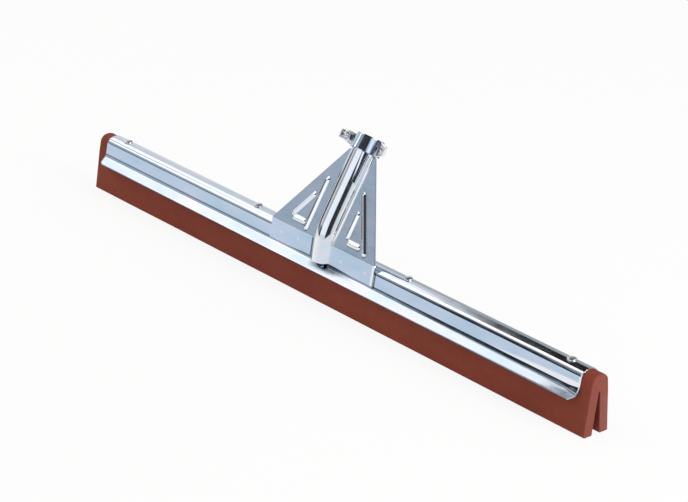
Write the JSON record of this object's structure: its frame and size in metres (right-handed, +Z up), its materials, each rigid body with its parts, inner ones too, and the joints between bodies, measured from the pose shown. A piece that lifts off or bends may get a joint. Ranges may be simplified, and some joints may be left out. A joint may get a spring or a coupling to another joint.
{
  "type": "floor squeegee",
  "caption": "Floor squeegee head with a red double-blade rubber in a zinc-plated channel, a leaning pressed handle socket and a bolted clamp collar.",
  "frame": {"origin": "on the floor, below the middle of the bounding box", "axes": "+X along the rubber to the right as seen from the front, +Y to the rear where the handle leans, +Z up"},
  "size_m": [0.75, 0.083, 0.1722],
  "materials": {
    "red_rubber": "matte",
    "zinc_sheet": "bright zinc plating",
    "zinc_fastener": "bright zinc plating"
  },
  "bodies": {
    "frame": {"blade_rubber": "red_rubber", "frame_channel": "zinc_sheet", "channel_rivets": "zinc_fastener", "rivet_washers": "zinc_fastener", "socket_plate": "zinc_sheet", "socket_rear_half": "zinc_sheet", "collar_front_strap": "zinc_sheet", "collar_rear_strap": "zinc_sheet", "collar_rivet": "zinc_fastener", "clamp_bolt": "zinc_fastener"},
    "washer": {"clamp_washer": "zinc_fastener"},
    "nut": {"clamp_nut": "zinc_fastener"}
  },
  "joints": [
    {"name": "nut_travel", "type": "slide", "parent": "frame", "child": "washer", "axis": [0, -0.866, 0.5], "range_m": [0, 0.002]},
    {"name": "nut_turn", "type": "hinge", "parent": "washer", "child": "nut", "pos_m": [-0.0235, 0.02034, 0.15955], "axis": [0, -0.866, 0.5], "range_deg": [0, 722]}
  ],
  "couplings": [
    {"joint": "nut_turn", "follows": "nut_travel", "rad_per_m": 6283.2}
  ]
}
